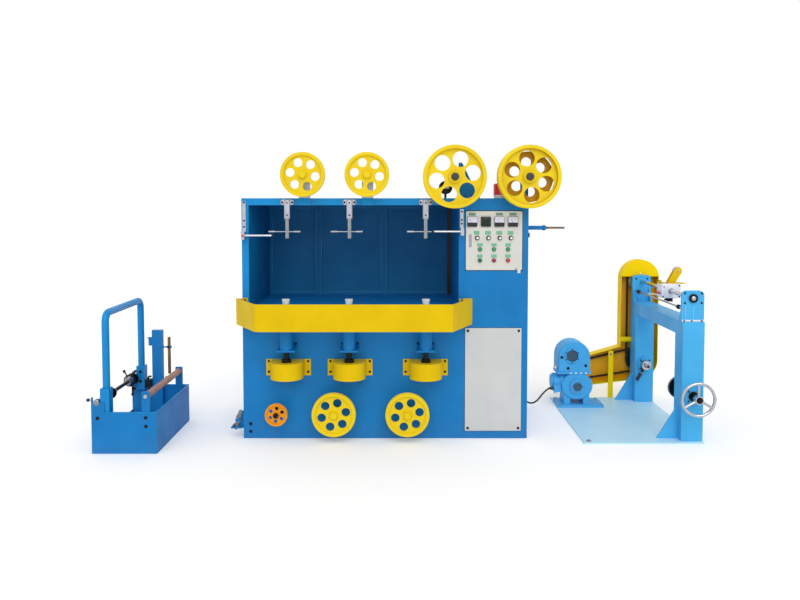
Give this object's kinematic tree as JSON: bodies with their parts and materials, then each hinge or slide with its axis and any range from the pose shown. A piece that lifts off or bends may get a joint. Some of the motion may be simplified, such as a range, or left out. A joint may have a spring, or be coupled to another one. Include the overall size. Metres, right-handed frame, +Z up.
{
  "type": "cable taping machine",
  "caption": "Cable taping machine: a blue housing with taping spindles, guide and capstan wheels and a control cabinet, between a pay-off stand and a take-up stand.",
  "frame": {"origin": "on the floor, at the middle of the taping unit's base", "axes": "+Z up, +X along the cable's run from pay-off to take-up, -Y towards the operator"},
  "size_m": [4.3735, 1.554, 2.122],
  "materials": {
    "housing_blue": "sprayed enamel on steel sheet",
    "bay_blue": "sprayed enamel, in shade",
    "guard_yellow": "yellow enamel on steel sheet",
    "wheel_yellow": "yellow enamel on cast wheels",
    "wheel_orange": "orange enamel on a cast wheel",
    "panel_grey": "pale powder coat",
    "black_plastic": "moulded",
    "button_green": "moulded",
    "chrome": "polished",
    "steel_black": "oxide-blackened",
    "steel": "turned",
    "beacon_red": "clear moulded lens",
    "beacon_white": "moulded",
    "takeup_blue": "light blue enamel",
    "copper": "copper-coloured sleeve",
    "belt_black": "moulded V-belt",
    "cable_black": "smooth sheath",
    "gear_blue": "painted casting"
  },
  "bodies": {
    "root": {"access_panel": "panel_grey", "bay_back_frame": "bay_blue", "bay_back_panels": "bay_blue", "bay_roof": "housing_blue", "beacon_base": "beacon_white", "beacon_lens": "beacon_red", "belt_guard": "guard_yellow", "cable_counter": "steel_black", "cable_glands": "black_plastic", "capstan_supports": "housing_blue", "control_cabinet": "housing_blue", "control_panel": "panel_grey", "corner_conduit": "black_plastic", "drive_belt": "belt_black", "gear_case": "gear_blue", "guard_rail": "guard_yellow", "guide_arms": "chrome", "left_side_wall": "housing_blue", "lever_bracket": "housing_blue", "lower_axles": "steel_black", "lower_cabinet": "housing_blue", "motor": "gear_blue", "motor_cable": "cable_black", "outlet_guide": "steel", "panel_buttons": "button_green", "panel_knobs": "black_plastic", "panel_meters": "black_plastic", "payoff_arch": "housing_blue", "payoff_brake": "steel_black", "payoff_post": "housing_blue", "payoff_roller_plates": "housing_blue", "payoff_trough": "housing_blue", "pulley_guards": "guard_yellow", "spindle_housings": "housing_blue", "takeup_base": "takeup_blue", "takeup_beam": "takeup_blue", "takeup_front_column": "takeup_blue", "takeup_rear_column": "takeup_blue", "tape_guides": "chrome", "top_wheel_brackets": "steel", "traverse_plates": "takeup_blue", "traverse_stop_rod": "steel"},
    "lower_wheel_1": {"lower_wheel_1": "wheel_orange"},
    "lower_wheel_2": {"lower_wheel_2": "wheel_yellow"},
    "lower_wheel_3": {"lower_wheel_3": "wheel_yellow"},
    "top_wheel_1": {"top_wheel_1": "wheel_yellow"},
    "top_wheel_2": {"top_wheel_2": "wheel_yellow"},
    "capstan_wheel_1": {"capstan_wheel_1": "wheel_yellow"},
    "capstan_wheel_2": {"capstan_wheel_2": "wheel_yellow"},
    "spindle_1": {"spindle_1": "steel_black"},
    "spindle_2": {"spindle_2": "steel_black"},
    "spindle_3": {"spindle_3": "steel_black"},
    "payoff_reel_shaft": {"payoff_reel_shaft": "steel_black"},
    "payoff_roller": {"payoff_roller": "copper"},
    "reel_drive_centre": {"reel_drive_centre": "steel"},
    "traverse_shaft": {"traverse_shaft": "chrome"},
    "motor_pulley": {"motor_pulley": "steel_black"},
    "tailstock_spindle": {"tailstock_spindle": "steel_black"},
    "handwheel": {"handwheel": "chrome"},
    "traverse_carriage": {"traverse_carriage": "steel"}
  },
  "joints": [
    {"name": "lower_wheel_1_turn", "type": "hinge", "parent": "root", "child": "lower_wheel_1", "pos_m": [-0.77694, -0.56, 0.205], "axis": [0, 1, 0], "continuous": true},
    {"name": "lower_wheel_2_turn", "type": "hinge", "parent": "root", "child": "lower_wheel_2", "pos_m": [-0.36605, -0.56, 0.205], "axis": [0, 1, 0], "continuous": true},
    {"name": "lower_wheel_3_turn", "type": "hinge", "parent": "root", "child": "lower_wheel_3", "pos_m": [0.16007, -0.56, 0.205], "axis": [0, 1, 0], "continuous": true},
    {"name": "top_wheel_1_turn", "type": "hinge", "parent": "root", "child": "top_wheel_1", "pos_m": [-0.57695, -0.56, 1.916], "axis": [0, 1, 0], "continuous": true},
    {"name": "top_wheel_2_turn", "type": "hinge", "parent": "root", "child": "top_wheel_2", "pos_m": [-0.12502, -0.56, 1.916], "axis": [0, 1, 0], "continuous": true},
    {"name": "capstan_wheel_1_turn", "type": "hinge", "parent": "root", "child": "capstan_wheel_1", "pos_m": [0.491, -0.56, 1.9], "axis": [0, 1, 0], "continuous": true},
    {"name": "capstan_wheel_2_turn", "type": "hinge", "parent": "root", "child": "capstan_wheel_2", "pos_m": [1.013, -0.56, 1.9], "axis": [0, 1, 0], "continuous": true},
    {"name": "spindle_1_turn", "type": "hinge", "parent": "root", "child": "spindle_1", "pos_m": [-0.702, -0.56, 0.5], "axis": [0, 0, 1], "continuous": true},
    {"name": "spindle_2_turn", "type": "hinge", "parent": "root", "child": "spindle_2", "pos_m": [-0.25507, -0.56, 0.5], "axis": [0, 0, 1], "continuous": true},
    {"name": "spindle_3_turn", "type": "hinge", "parent": "root", "child": "spindle_3", "pos_m": [0.29103, -0.56, 0.5], "axis": [0, 0, 1], "continuous": true},
    {"name": "payoff_reel_shaft_turn", "type": "hinge", "parent": "root", "child": "payoff_reel_shaft", "pos_m": [-1.967, -0.792, 0.354], "axis": [0, 1, 0], "continuous": true},
    {"name": "payoff_roller_turn", "type": "hinge", "parent": "root", "child": "payoff_roller", "pos_m": [-1.631, -0.792, 0.396], "axis": [0, 1, 0], "continuous": true},
    {"name": "reel_drive_turn", "type": "hinge", "parent": "root", "child": "reel_drive_centre", "pos_m": [2.1955, 0.512, 0.34], "axis": [0, 1, 0], "continuous": true},
    {"name": "traverse_shaft_turn", "type": "hinge", "parent": "root", "child": "traverse_shaft", "pos_m": [2.1955, -0.556, 1.038], "axis": [0, 1, 0], "continuous": true},
    {"name": "motor_pulley_turn", "type": "hinge", "parent": "root", "child": "motor_pulley", "pos_m": [1.625, 0.662, 0.222], "axis": [0, 1, 0], "continuous": true},
    {"name": "tailstock_feed", "type": "slide", "parent": "root", "child": "tailstock_spindle", "axis": [0, 1, 0], "range_m": [0, 0.06]},
    {"name": "handwheel_turn", "type": "hinge", "parent": "tailstock_spindle", "child": "handwheel", "pos_m": [2.1955, -0.666, 0.34], "axis": [0, 1, 0], "continuous": true},
    {"name": "traverse_slide", "type": "slide", "parent": "root", "child": "traverse_carriage", "axis": [0, 1, 0], "range_m": [-0.372, 0.558]}
  ]
}
